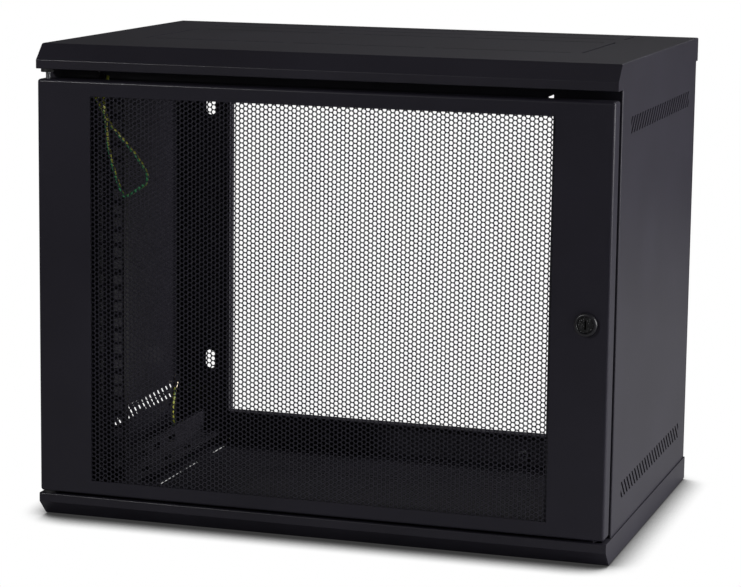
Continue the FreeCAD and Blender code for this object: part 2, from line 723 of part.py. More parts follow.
def make_rack_rail(name, turned):
    """Right 19-inch rail: face with square holes, outer flange and inner hem."""
    body = new_body(name)
    plan = new_sketch(body, "XY_Plane", "{rack_bottom}")
    outline(plan, [
        ("{rack_clear_half}", "{rack_face}"),
        ("{rack_outer}", "{rack_face}"),
        ("{rack_outer}", "{rack_face} + {rack_flange}"),
        ("{rack_outer} - {rack_sheet}", "{rack_face} + {rack_flange}"),
        ("{rack_outer} - {rack_sheet}", "{rack_face} + {rack_sheet}"),
        ("{rack_clear_half} + {rack_sheet}", "{rack_face} + {rack_sheet}"),
        ("{rack_clear_half} + {rack_sheet}", "{rack_face} + {rack_hem}"),
        ("{rack_clear_half}", "{rack_face} + {rack_hem}"),
    ])
    pad(body, plan, "{case_height} - 2 * {rack_bottom}")

    unit = new_sketch(body, "XZ_Plane", "-({rack_face} - {overshoot})")
    half = "{rack_hole} / 2"
    for level in ("{rack_unit} / 7", "{rack_unit} / 2", "{rack_unit} * 6 / 7"):
        rectangle(unit, f"{{rack_column}} - {half}", f"{{rack_column}} + {half}",
                  f"{{rack_first}} + {level} - {half}", f"{{rack_first}} + {level} + {half}")
    holes = cut(body, unit, "{rack_sheet} + 2 * {overshoot}")
    repeat(body, holes, unit, "V_Axis", "{rack_unit}", "{rack_units}")

    bolt_holes = new_sketch(body, "YZ_Plane", "{rack_outer} + {overshoot}")
    for along in ("{rack_bolt_a}", "{rack_bolt_b}"):
        for level in ("{web_level}", "{case_height} - {web_level}"):
            circle(bolt_holes, along, level, "{bolt_hole}")
    cut(body, bolt_holes, "{rack_sheet} + 2 * {overshoot}")
    if turned:
        turn_over(body)


# ------------------------------------------------------------------ door

def make_door_frame():
    """Folded pan with rounded bends and corners, a window, and hems on the two stiles."""
    body = new_body("door_frame")
    face = new_sketch(body, "XZ_Plane", "-{door_back}")
    rectangle(face, "-{door_half}", "{door_half}", "{door_bottom}", "{door_top}")
    pad(body, face, "{door_depth}")
    shell(body, "{sheet}", "y", "{door_back}")
    for skin in ("{sheet}", "0"):
        corners = [{"x": f"{side} * ({{door_half}} - {skin})", "z": z} for side in (-1, 1)
                   for z in (f"{{door_bottom}} + {skin}", f"{{door_top}} - {skin}")]
        bend(body, f"{{door_bend}} - {skin}", {"y": f"{{door_front}} + {skin}"}, *corners)

    window = new_sketch(body, "XZ_Plane", "-({door_front} - {overshoot})")
    rectangle(window, "-{window_half}", "{window_half}", "{window_bottom}", "{window_top}")
    cut(body, window, "{sheet} + 2 * {overshoot}")

    hems = new_sketch(body, "XZ_Plane", "-{door_back}")
    for side in (-1, 1):
        rectangle_x(hems, side, "{door_half} - {door_hem}", "{door_half} - {sheet} / 2",
                    "{door_bottom} + {door_bend}", "{door_top} - {door_bend}")
    pad(body, hems, "{sheet}")

    lock_hole = new_sketch(body, "XZ_Plane", "-({door_front} - {overshoot})")
    circle(lock_hole, "{lock_x}", "{lock_level}", "{barrel_radius} + {lap_gap}")
    cut(body, lock_hole, "{sheet} + 2 * {overshoot}")

    pin_holes = new_sketch(body, "XY_Plane", "{door_top} + {overshoot}")
    circle(pin_holes, "-{hinge_x}", "{hinge_y}", "{pin_radius} + {running_fit}")
    cut(body, pin_holes, "{door_top} - {door_bottom} + 2 * {overshoot}")


def make_door_mesh():
    """Perforated sheet behind the window: hexagonal holes in staggered rows."""
    body = new_body("door_mesh")
    blank = new_sketch(body, "XZ_Plane", "-({mesh_front} + {mesh_sheet})")
    rectangle(blank, "-{mesh_half}", "{mesh_half}", "{window_bottom} - {mesh_lap}",
              "{window_top} + {mesh_lap}")
    pad(body, blank, "{mesh_sheet}")

    pitch = value("{mesh_pitch}")
    row = pitch * math.sqrt(3) / 2
    wide = value("2 * {window_half} - {mesh_hole}")
    tall = value("{window_top} - {window_bottom} - {mesh_hole} * 2 / sqrt(3)")
    columns = int(wide / pitch) + 1
    rows = int(tall / row) + 1
    left = "-{mesh_pitch} * " + str((columns - 1) / 2)
    bottom = "({window_top} + {window_bottom}) / 2 - {mesh_pitch} * sqrt(3) / 4 * " + str(rows - 1)
    add_hole_rows(body, left, bottom, columns, (rows + 1) // 2)
    add_hole_rows(body, f"{left} + {{mesh_pitch}} / 2",
                  f"{bottom} + {{mesh_pitch}} * sqrt(3) / 2", columns - 1, rows // 2)


def add_hole_rows(body, left, bottom, columns, rows):
    """A block of hexagonal holes, with every second row of the mesh."""
    sketch = new_sketch(body, "XZ_Plane", "-({mesh_front} - {overshoot})")
    corners = []
    for index in range(6):
        angle = f"{30 + 60 * index}deg"
        corners.append((f"{left} + {{mesh_hole}} / sqrt(3) * cos({angle})",
                        f"{bottom} + {{mesh_hole}} / sqrt(3) * sin({angle})"))
    outline(sketch, corners)
    hole = cut(body, sketch, "{mesh_sheet} + 2 * {overshoot}")
    across = body.newObject("PartDesign::LinearPattern", "across")
    across.Direction = (sketch, ["H_Axis"])
    across.setExpression("Length", rule(f"{{mesh_pitch}} * {columns - 1}"))
    across.Occurrences = columns
    upward = body.newObject("PartDesign::LinearPattern", "upward")
    upward.Direction = (sketch, ["V_Axis"])
    upward.setExpression("Length", rule(f"{{mesh_pitch}} * sqrt(3) * {rows - 1}"))
    upward.Occurrences = rows
    grid = body.newObject("PartDesign::MultiTransform", "grid")
    grid.Originals = [hole]
    grid.Transformations = [across, upward]
    body.Tip = grid
    doc.recompute()


# ------------------------------------------------------------------ turned parts

UP = Vector(0, 0, 1)
DOWN = Vector(0, 0, -1)
FRONT = Vector(0, -1, 0)
BACK = Vector(0, 1, 0)
LEFT = Vector(-1, 0, 0)
RIGHT = Vector(1, 0, 0)


def revolve(name, half_section, direction, x, y, z):
    """Body turned from radius and height pairs, its axis then laid along the direction."""
    body = new_body(name)
    section = new_sketch(body, "XZ_Plane")
    outline(section, half_section)
    turning = body.newObject("PartDesign::Revolution", "turning")
    turning.Profile = section
    turning.ReferenceAxis = (section, ["V_Axis"])
    turning.Angle = 360
    body.Placement = FreeCAD.Placement(Vector(), FreeCAD.Rotation(UP, direction))
    for axis, text in (("x", x), ("y", y), ("z", z)):
        body.setExpression(f".Placement.Base.{axis}", rule(text))
    doc.recompute()
    return body


def make_hinge():
    """Two flanged bushes, the fixed lower pin and the sprung upper plunger."""
    bore = "{pin_radius} + {running_fit}"
    tail = "{sheet} + {bush_tail}"
    for name, head, direction, level in (
            ("hinge_bush_upper", "{bush_flange}", UP, "{lid_edge}"),
            ("hinge_bush_lower", "{door_bottom_gap} - {bush_rest}", DOWN, "{tray_drop}")):
        revolve(name, [
            (bore, f"-({head})"),
            ("{bush_radius}", f"-({head})"),
            ("{bush_radius}", "0"),
            ("{bush_body}", "0"),
            ("{bush_body}", tail),
            (bore, tail),
        ], direction, "-{hinge_x}", "{hinge_y}", level)

    pin_tip = "2 * {sheet} + {door_bottom_gap} + {bush_tail} + {pin_end}"
    revolve("lower_hinge_pin", [
        ("0", "-{pin_head}"),
        ("{bush_body}", "-{pin_head}"),
        ("{bush_body}", "0"),
        ("{pin_radius}", "0"),
        ("{pin_radius}", pin_tip),
        ("0", pin_tip),
    ], DOWN, "-{hinge_x}", "{hinge_y}", "{door_bottom} + {sheet}")

    plunger = revolve("hinge_plunger", [
        ("0", "0"),
        ("{pin_radius}", "0"),
        ("{pin_radius}", "{spring_top} - {plunger_foot}"),
        ("{spring_radius}", "{spring_top} - {plunger_foot}"),
        ("{spring_radius}", "{collar_top} - {plunger_foot}"),
        ("{pin_radius}", "{collar_top} - {plunger_foot}"),
        ("{pin_radius}", "{plunger_top} - {plunger_foot} - {pin_chamfer}"),
        ("{pin_radius} - {pin_chamfer}", "{plunger_top} - {plunger_foot}"),
        ("0", "{plunger_top} - {plunger_foot}"),
    ], UP, "-{hinge_x}", "{hinge_y}", "{plunger_foot}")
    finger = new_sketch(plunger, "YZ_Plane")
    circle(finger, "0", "{finger_radius} + {pin_chamfer}", "{finger_radius}")
    pad(plunger, finger, "{finger_length}")


def make_plunger_guide():
    """Angle clip on the inside of the door; its ear guides the plunger."""
    body = new_body("plunger_guide")
    inside = "{door_front} + {sheet}"
    profile = new_sketch(body, "YZ_Plane", "-({hinge_x} + {guide_half})")
    outline(profile, [
        (inside, "{guide_bottom}"),
        ("{hinge_y} + {guide_half}", "{guide_bottom}"),
        ("{hinge_y} + {guide_half}", "{guide_top}"),
        (inside + " + {bracket_sheet}", "{guide_top}"),
        (inside + " + {bracket_sheet}", "{guide_top} + {guide_leg}"),
        (inside, "{guide_top} + {guide_leg}"),
    ])
    pad(body, profile, "2 * {guide_half}")
    hole = new_sketch(body, "XY_Plane", "{guide_top} + {overshoot}")
    circle(hole, "-{hinge_x}", "{hinge_y}", "{pin_radius} + {running_fit}")
    cut(body, hole, "{bracket_sheet} + 2 * {overshoot}")


def make_plunger_spring():
    """The coil spring's envelope: a sleeve round the plunger, from its guide to its collar."""
    bore = "{pin_radius} + {spring_play}"
    revolve("plunger_spring", [
        (bore, "0"),
        ("{spring_radius}", "0"),
        ("{spring_radius}", "{spring_length}"),
        (bore, "{spring_length}"),
    ], UP, "-{hinge_x}", "{hinge_y}", "{guide_top}")


def make_lock():
    """Cam lock: rim and threaded barrel, nut, turning plug, cam and the nut on its stem."""
    housing = revolve("lock_housing", [
        ("{plug_radius} + {running_fit}", "{rim_chamfer} - {lock_proud}"),
        ("{plug_radius} + {rim_chamfer}", "-{lock_proud}"),
        ("{rim_radius}", "-{lock_proud}"),
        ("{rim_radius}", "0"),
        ("{barrel_radius}", "0"),
        ("{barrel_radius}", "{lock_reach} - {cam_sheet}"),
        ("{plug_radius} + {running_fit}", "{lock_reach} - {cam_sheet}"),
    ], BACK, "{lock_x}", "{door_front}", "{lock_level}")
    bend(housing, "{rim_crown}", {"x": "{rim_radius}", "z": "-{lock_proud}"})

    nut = new_body("lock_nut")
    ring = new_sketch(nut, "XZ_Plane", "-({mesh_front} + {nut_height})")
    hexagon(ring, "{lock_x}", "{lock_level}", "{lock_nut_across}")
    circle(ring, "{lock_x}", "{lock_level}", "{barrel_radius} + {running_fit}")
    pad(nut, ring, "{nut_height}")

    face = "{plug_inset} - {lock_proud}"
    stem_end = "{lock_reach} + {cam_sheet} + {cam_nut_height}"
    plug = revolve("lock_plug", [
        ("0", face),
        ("{plug_radius} - {plug_chamfer}", face),
        ("{plug_radius}", face + " + {plug_chamfer}"),
        ("{plug_radius}", "{lock_reach}"),
        ("{earth_stud_radius}", "{lock_reach}"),
        ("{earth_stud_radius}", stem_end),
        ("0", stem_end),
    ], BACK, "{lock_x}", "{door_front}", "{lock_level}")
    square = new_sketch(plug, "XY_Plane", "{lock_reach} - {sheet}")
    side = "{stem_square} / 2"
    rectangle(square, f"-{side}", side, f"-{side}", side)
    pad(plug, square, "{cam_sheet} + {sheet} - {lap_gap}")
    keyway = new_sketch(plug, "XY_Plane", face + " + {key_height}")
    rectangle(keyway, "-{key_width} / 2", "{key_width} / 2", "-{key_height} / 2",
              "{key_height} / 2")
    cut(plug, keyway, "{key_height} + {overshoot}")

    cam = new_body("lock_cam")
    blade = new_sketch(cam, "XZ_Plane", "-({cam_front} + {cam_sheet})")
    slot(blade, ("{lock_x}", "{lock_level}"),
         ("{lock_x}", "{lock_level} - {cam_reach} + {cam_width} / 2"), "{cam_width} / 2")
    hole = "({stem_square} / 2 + {running_fit})"
    rectangle(blade, f"{{lock_x}} - {hole}", f"{{lock_x}} + {hole}",
              f"{{lock_level}} - {hole}", f"{{lock_level}} + {hole}")
    pad(cam, blade, "{cam_sheet}")


def hexagon(sketch, x, y, across):
    corners = []
    for index in range(6):
        angle = f"{60 * index}deg"
        corners.append((f"{x} + {across} / sqrt(3) * cos({angle})",
                        f"{y} + {across} / sqrt(3) * sin({angle})"))
    return outline(sketch, corners)


# ------------------------------------------------------------------ fasteners

def hex_prism(across, height):
    corners = [Vector(across / math.sqrt(3), 0, 0)]
    for _ in range(6):
        corners.append(FreeCAD.Rotation(UP, 60).multVec(corners[-1]))
    return Part.Face(Part.makePolygon(corners[:6] + corners[:1])).extrude(UP * height)


def make_nut(across, height, thread):
    """Nut from its seat upwards, on a thread of the given radius."""
    return hex_prism(across, height).cut(Part.makeCylinder(thread, height))


def make_bolt(length):
    """Bolt with its head from the seat upwards and its shank downwards."""
    head = hex_prism(value("{nut_across}"), value("{head_height}"))
    shank = Part.makeCylinder(value("{bolt_radius}"), length, Vector(), DOWN)
    return head.fuse(shank).removeSplitter()


def group(name, template, spots):
    """One node of separate copies, each given by its place and the way it faces."""
    copies = []
    for x, y, z, facing in spots:
        copy = template.copy()
        copy.Placement = FreeCAD.Placement(Vector(value(x), value(y), value(z)),
                                           FreeCAD.Rotation(UP, facing))
        copies.append(copy)
    feature = node(doc.addObject("Part::Feature", name), name)
    feature.Shape = Part.makeCompound(copies)
    return feature


def both_ends(level):
    """A level near the base and its mirror image near the top."""
    return (level, "{case_height} - (" + level + ")")


def make_fasteners():
    nut = make_nut(value("{nut_across}"), value("{nut_height}"), value("{bolt_radius}"))
    foot_top = "{side_bottom} + {sheet}"
    seats = []
    for side in (-1, 1):
        for level, facing in zip(both_ends(foot_top), (UP, DOWN)):
            for along in ("{foot_stud_front_y}", "{foot_stud_rear_y}"):
                seats.append((f"{side} * {{foot_stud_x}}", along, level, facing))
            seats.append((f"{side} * {{rail_stud_x}}", "{rail_stud_y}", level, facing))
    group("tray_nuts", nut, seats)

    seats = []
    for side in (-1, 1):
        for level in both_ends("{side_screw_level}") + ("{mid_height}",):
            seats.append((f"{side} * {{rear_stud_x}}", "{side_rear} - {sheet}", level, FRONT))
        for level in both_ends("{skirt_stud_level}"):
            seats.append((f"{side} * {{rail_stud_x}}", "{rear_plate_front}", level, FRONT))
    group("rear_frame_nuts", nut, seats)

    nuts = []
    bolts = []
    for side in (-1, 1):
        x = f"{side} * {{bracket_bolt_x}}"
        for level in both_ends("{bolt_level}"):
            bolts.append((x, "{post_face}", level, FRONT))
            nuts.append((x, "{bracket_front} + {bracket_sheet}", level, BACK))
            nuts.append((x, "{bracket_rear} - {bracket_sheet}", level, FRONT))
    grip = "{nut_height} + {thread_end} + {lap_gap} + {bracket_sheet}"
    group("bracket_bolts", make_bolt(value(grip + " + {sheet}")), bolts)
    group("bracket_nuts", nut, nuts)

    nuts = []
    bolts = []
    for side, outward, inward in ((-1, LEFT, RIGHT), (1, RIGHT, LEFT)):
        for along in ("{rack_bolt_a}", "{rack_bolt_b}"):
            for level in both_ends("{web_level}"):
                bolts.append((f"{side} * ({{rack_outer}} - {{rack_sheet}})", along, level,
                              inward))
                nuts.append((f"{side} * {{bracket_web}}", along, level, outward))
    group("rail_bolts", make_bolt(value(grip + " + {rack_sheet}")), bolts)
    group("rail_nuts", nut, nuts)

    thread = value("{earth_stud_radius}")
    cam_nut = make_nut(value("{earth_nut_across}"), value("{cam_nut_height}"), thread)
    group("cam_nut", cam_nut, [("{lock_x}", "{cam_front} + {cam_sheet}", "{lock_level}", BACK)])


# ------------------------------------------------------------------ earth leads

# Each lead runs from one ring terminal to another through corners rounded by arcs.
LEAD_ROUTES = {
    "earth_lead_front": [
        (-245.96, -170.8, 436.06), (-231.5, -170.8, 409.9), (-209.4, -177, 396),
        (-192.1, -179, 377.2), (-183.1, -180, 357.3), (-189.9, -180.5, 339.9),
        (-205.4, -180.5, 332.4), (-217.2, -181, 346), (-224.5, -181.5, 368),
        (-228, -183, 394.3), (-230, -183, 422.7), (-236.5, -175, 441),
        (-236.5, -161.5, 453), (-236, -157.1, 466), (-236, -157.2, 478.9),
        (-236, -149.5, 486.5), (-236, -139, 486.5),
    ],
    "earth_lead_rear": [
        (-295.1, 171.25, 65.17), (-295.1, 160.5, 46.55), (-287.5, 142.5, 32.5),
        (-278, 135, 16), (-272, 145.5, 3.5), (-272, 163, 3.5),
    ],
}


def rounded_path(points):
    """Straight runs joined by arcs as large as the two runs at each corner allow."""
    edges = []
    here = points[0]
    for before, corner, after in zip(points, points[1:], points[2:]):
        back = (before - corner).normalize()
        ahead = (after - corner).normalize()
        turn = math.pi - back.getAngle(ahead)
        shorter = min((before - corner).Length, (after - corner).Length)
        setback = 0.45 * shorter
        radius = setback / math.tan(turn / 2)
        start = corner + back * setback
        end = corner + ahead * setback
        inward = (back + ahead).normalize()
        middle = corner + inward * (radius / math.cos(turn / 2) - radius)
        edges.append(Part.LineSegment(here, start).toShape())
        edges.append(Part.Arc(start, middle, end).toShape())
        print(f"  corner radius {radius:.1f} mm, turn {math.degrees(turn):.0f} degrees")
        here = end
    edges.append(Part.LineSegment(here, points[-1]).toShape())
    return Part.Wire(edges)


def make_lead(name):
    points = [Vector(*point) for point in LEAD_ROUTES[name]]
    path = rounded_path(points)
    radius = value("{lead_radius}")
    circle_edge = Part.makeCircle(radius, points[0], points[1] - points[0])
    tube = path.makePipeShell([Part.Wire(circle_edge)], True, True)
    expected = math.pi * radius ** 2 * path.Length
    print(f"{name}: length {path.Length:.1f}, {tube.Volume / expected:.4f} of section x length")
    feature = node(doc.addObject("Part::Feature", name), name)
    feature.Shape = tube


def make_terminal():
    """Ring terminal: flat ring round the stud and a crimped barrel along +X."""
    ring = value("{terminal_ring}")
    sheet = value("{terminal_sheet}")
    barrel = value("{terminal_barrel}")
    length = value("{terminal_length}")
    start = ring + value("{terminal_neck}")
    body = Part.makeCylinder(ring, sheet)
    body = body.fuse(Part.makeBox(start, 2 * barrel, sheet, Vector(0, -barrel, 0)))
    body = body.fuse(Part.makeCylinder(barrel, length - start, Vector(start, 0, barrel), RIGHT))
    bore = Part.makeCylinder(value("{earth_stud_radius}"), 3 * sheet, Vector(0, 0, -sheet))
    return body.cut(bore).removeSplitter()


def make_earthing():
    """Terminals on their studs, the nuts that hold them and the two leads."""
    inner_side = "{side_outer} - {sheet}"
    studs = [
        ("-{earth_post_x}", "{post_face}", "{case_height} - {earth_post_drop}", FRONT),
        ("-{earth_lid_x}", "{earth_lid_y}", "{case_height} - {sheet}", DOWN),
        (f"-({inner_side})", "{earth_side_y}", "{earth_side_rise}", RIGHT),
        ("-{earth_foot_x}", "{earth_foot_y}", "{sheet}", UP),
    ]
    along = [Vector(0.4835, 0, -0.8753), FRONT, Vector(0, -0.5, -0.866), FRONT]
    terminals = []
    for (x, y, z, facing), barrel in zip(studs, along):
        turned = make_terminal()
        axes = FreeCAD.Rotation(barrel, Vector(), facing, "ZXY")
        turned.Placement = FreeCAD.Placement(Vector(value(x), value(y), value(z)), axes)
        terminals.append(turned)
    feature = node(doc.addObject("Part::Feature", "ring_terminals"), "ring_terminals")
    feature.Shape = Part.makeCompound(terminals)

    nut = make_nut(value("{earth_nut_across}"), value("{earth_nut_height}"),
                   value("{earth_stud_radius}"))
    lift = value("{terminal_sheet}")
    nuts = []
    for x, y, z, facing in studs:
        nuts.append((f"{x} + {facing.x * lift}", f"{y} + {facing.y * lift}",
                     f"{z} + {facing.z * lift}", facing))
    group("earth_nuts", nut, nuts)
    for name in LEAD_ROUTES:
        make_lead(name)


# ------------------------------------------------------------------ assembly

def check_document():
    """Stop before writing if any feature failed or any sub-part isn't a valid solid."""
    doc.recompute()
    for item in doc.Objects:
        if "Invalid" in item.State or "Error" in item.State:
            raise RuntimeError(f"{item.Label} ({item.TypeId}) failed: {item.State}")
    for item in NODES:
        if item.Shape.isNull() or not item.Shape.isValid() or not item.Shape.Solids:
            raise RuntimeError(f"{item.Label} is not a valid solid")


def write_parts():
    os.makedirs("parts", exist_ok=True)
    for item in NODES:
        item.Shape.exportStep(f"parts/{item.Label}.step")
        box = item.Shape.BoundBox
        print(f"{item.Label}: {len(item.Shape.Solids)} solid(s), {item.Shape.Volume:.0f} mm3, "
              f"X {box.XMin:.1f} {box.XMax:.1f}, Y {box.YMin:.1f} {box.YMax:.1f}, "
              f"Z {box.ZMin:.1f} {box.ZMax:.1f}")


make_tray("base_tray", turned=False)
make_tray("top_cover", turned=True)
make_side_panel("right_side_panel", turned=False)
make_side_panel("left_side_panel", turned=True)
make_rear_frame()
make_front_rail("front_bottom_rail", turned=False)
make_front_rail("front_top_rail", turned=True)
make_depth_bracket("depth_bracket_lower_left", -1, turned=False)
make_depth_bracket("depth_bracket_lower_right", 1, turned=False)
make_depth_bracket("depth_bracket_upper_left", 1, turned=True)
make_depth_bracket("depth_bracket_upper_right", -1, turned=True)
make_rack_rail("rack_rail_right", turned=False)
make_rack_rail("rack_rail_left", turned=True)
make_door_frame()
make_door_mesh()
make_hinge()
make_plunger_guide()
make_plunger_spring()
make_lock()
make_fasteners()
make_earthing()
check_document()
write_parts()
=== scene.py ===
# %% [markdown]
# # A wall cabinet for network equipment
#
# This file dresses a sheet-steel cabinet: a folded case, a door with a perforated sheet, a cam
# lock, a sprung hinge pin and two striped earth leads. The construction comes in as a fixed
# frame. Everything here is about looks: paint, metal, the fine perforation and the leads.

# %% Load the frame
import math
from contextlib import contextmanager

import bpy
from mathutils import Matrix, Vector


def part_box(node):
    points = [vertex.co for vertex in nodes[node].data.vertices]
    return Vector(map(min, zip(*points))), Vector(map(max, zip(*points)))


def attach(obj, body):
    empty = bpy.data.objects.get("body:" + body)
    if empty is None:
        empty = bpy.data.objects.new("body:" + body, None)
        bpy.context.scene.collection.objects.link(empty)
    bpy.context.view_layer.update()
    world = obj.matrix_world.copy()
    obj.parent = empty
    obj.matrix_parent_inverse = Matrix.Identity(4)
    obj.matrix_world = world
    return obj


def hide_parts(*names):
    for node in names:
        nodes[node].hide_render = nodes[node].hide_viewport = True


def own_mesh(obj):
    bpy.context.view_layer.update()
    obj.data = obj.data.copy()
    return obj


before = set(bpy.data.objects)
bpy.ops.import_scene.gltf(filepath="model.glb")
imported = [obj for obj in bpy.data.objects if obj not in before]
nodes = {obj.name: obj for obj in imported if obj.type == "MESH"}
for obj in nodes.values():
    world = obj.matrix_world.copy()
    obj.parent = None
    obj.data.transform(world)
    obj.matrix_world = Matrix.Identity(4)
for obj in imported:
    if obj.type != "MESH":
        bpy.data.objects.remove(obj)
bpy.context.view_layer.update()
bpy.ops.object.select_all(action="DESELECT")
MM = 0.001
ORIGIN = (0, 0, 0)
print("nodes:", len(nodes))

# %% [markdown]
# ## The camera
#
# The camera stands to the right of the cabinet and a little above it, far away with a long
# lens, so upright edges stay nearly parallel. A small shift of the lens moves the cabinet in
# the view without turning the camera. The camera is set first.

# %% Camera
CAMERA_AZIMUTH = math.radians(17.927)
CAMERA_ELEVATION = math.radians(9.457)
CAMERA_ROLL = math.radians(0.65)
CAMERA_DISTANCE = 2.809218
AIM_POINT = Vector((-0.02769, 0.0035, 0.230865))
SENSOR_WIDTH = 36               # millimetres, as is the lens
LENS_LENGTH = 128.12847
LENS_SHIFT = (0.0266383266, -0.0137179487)
FARTHEST_SEEN = 50

backwards = Vector((math.sin(CAMERA_AZIMUTH) * math.cos(CAMERA_ELEVATION),
                    -math.cos(CAMERA_AZIMUTH) * math.cos(CAMERA_ELEVATION),
                    math.sin(CAMERA_ELEVATION)))
level_right = Vector((math.cos(CAMERA_AZIMUTH), math.sin(CAMERA_AZIMUTH), 0))
level_up = backwards.cross(level_right)
right = level_right * math.cos(CAMERA_ROLL) + level_up * math.sin(CAMERA_ROLL)
up = level_up * math.cos(CAMERA_ROLL) - level_right * math.sin(CAMERA_ROLL)

bpy.ops.object.camera_add(location=AIM_POINT + backwards * CAMERA_DISTANCE)
camera = bpy.context.object
camera.name = "camera"
camera.rotation_euler = Matrix((right, up, backwards)).transposed().to_euler()
camera.data.sensor_width = SENSOR_WIDTH
camera.data.lens = LENS_LENGTH
camera.data.shift_x, camera.data.shift_y = LENS_SHIFT
camera.data.clip_end = FARTHEST_SEEN
bpy.context.scene.camera = camera
print("lens", round(camera.data.lens, 1), "mm")

# %% [markdown]
# ## Earth leads
#
# A steel case is bonded with short green and yellow leads between its panels. The front one
# hangs from the left post in a loose loop, bent a little sharper at the bottom, and goes up
# behind the front rail to the lid; the rear one joins the left side panel to the base. Each
# is one smooth spline between its two terminals, given a round section. A spline is the
# natural choice: the wire is springy and never shows a kink.

# %% Lead routes
LEAD_DIAMETER = 3.4 * MM
STEPS_PER_CORNER = 12
LEAD_ROUTES = {                 # corners of each route, in millimetres
    "front_earth_wire": [
        (-245.96, -170.8, 436.06), (-231.5, -170.8, 409.9), (-214, -177, 396),
        (-199, -179, 381), (-186, -180, 364), (-184.5, -180.5, 353),
        (-196, -180.5, 345), (-209, -180.5, 335.5), (-214, -181, 343),
        (-219.5, -181.3, 358), (-225, -181.6, 376),
        (-228, -183, 396), (-230, -183, 422.7), (-236.5, -175, 441),
        (-236.5, -161.5, 453), (-236, -157.1, 466), (-236, -157.2, 478.9),
        (-236, -149.5, 486.5), (-236, -139, 486.5),
    ],
    "rear_earth_wire": [
        (-295.1, 171.25, 65.17), (-295.1, 160.5, 46.55), (-287.5, 142.5, 32.5),
        (-278, 135, 16), (-272, 145.5, 3.5), (-272, 163, 3.5),
    ],
}


def route_spline(name, route):
    """A curve object with one NURBS spline that follows the route's corners."""
    curve = bpy.data.curves.new(name, "CURVE")
    curve.dimensions = "3D"
    spline = curve.splines.new("NURBS")
    spline.points.add(len(route) - 1)
    for point, place in zip(spline.points, route):
        point.co = (*(Vector(place) * MM), 1)
    spline.order_u = 3
    spline.use_endpoint_u = True
    spline.resolution_u = STEPS_PER_CORNER
    curve.use_fill_caps = True
    wire = bpy.data.objects.new(name, curve)
    bpy.context.collection.objects.link(wire)
    return wire


def spline_points(wire):
    """Points along the bare spline, read before it has a section."""
    mesh = bpy.data.meshes.new_from_object(wire)
    points = [vertex.co.copy() for vertex in mesh.vertices]
    bpy.data.meshes.remove(mesh)
    return points


leads = {}
for name, route in LEAD_ROUTES.items():
    wire = route_spline(name, route)
    points = spline_points(wire)
    length = sum((b - a).length for a, b in zip(points, points[1:]))
    leads[name] = {"tube": wire, "points": points, "length": length}
    print(name, "length", round(length / MM), "mm")

# %% [markdown]
# The sleeve is the same spline with a round section. A curve's own bevel sweeps it without a
# twist and gives it a UV map that counts turns round the wire and steps along it, which the
# stripe needs, so the curve is bevelled and then made a mesh.

# %% Lead sleeves
LEAD_NODES = {"front_earth_wire": "earth_lead_front", "rear_earth_wire": "earth_lead_rear"}
SECTION_STEPS = 4
LEAD_SMOOTHING = math.radians(60)


def activate(piece):
    """Select this object alone and make it the active one."""
    bpy.ops.object.select_all(action="DESELECT")
    piece.select_set(True)
    bpy.context.view_layer.objects.active = piece


def sleeve(wire, diameter):
    """Give the bare spline a round section and closed ends, and make it a mesh."""
    wire.data.bevel_depth = diameter / 2
    wire.data.bevel_resolution = SECTION_STEPS
    activate(wire)
    bpy.ops.object.convert(target="MESH")
    bpy.ops.object.shade_smooth_by_angle(angle=LEAD_SMOOTHING)


for name, lead in leads.items():
    tube = lead["tube"]
    sleeve(tube, LEAD_DIAMETER)
    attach(tube, "case")
    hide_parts(LEAD_NODES[name])
    print(name, len(tube.data.polygons), "faces")

# %% [markdown]
# ## Writing materials as sums
#
# One class makes every node of a material, or of the world, so each finish below is a list of
# what it is made of. A node gets its settings first, because they decide which sockets it
# has, and then its inputs, by name or, where several share a name, by number.

# %% Shader nodes


def set_stops(ramp, stops):
    """Give a colour ramp these stops, each a place and a colour."""
    while len(ramp.elements) < len(stops):
        ramp.elements.new(0.5)
    for element, (position, colour) in zip(ramp.elements, stops):
        element.position = position
        element.color = colour


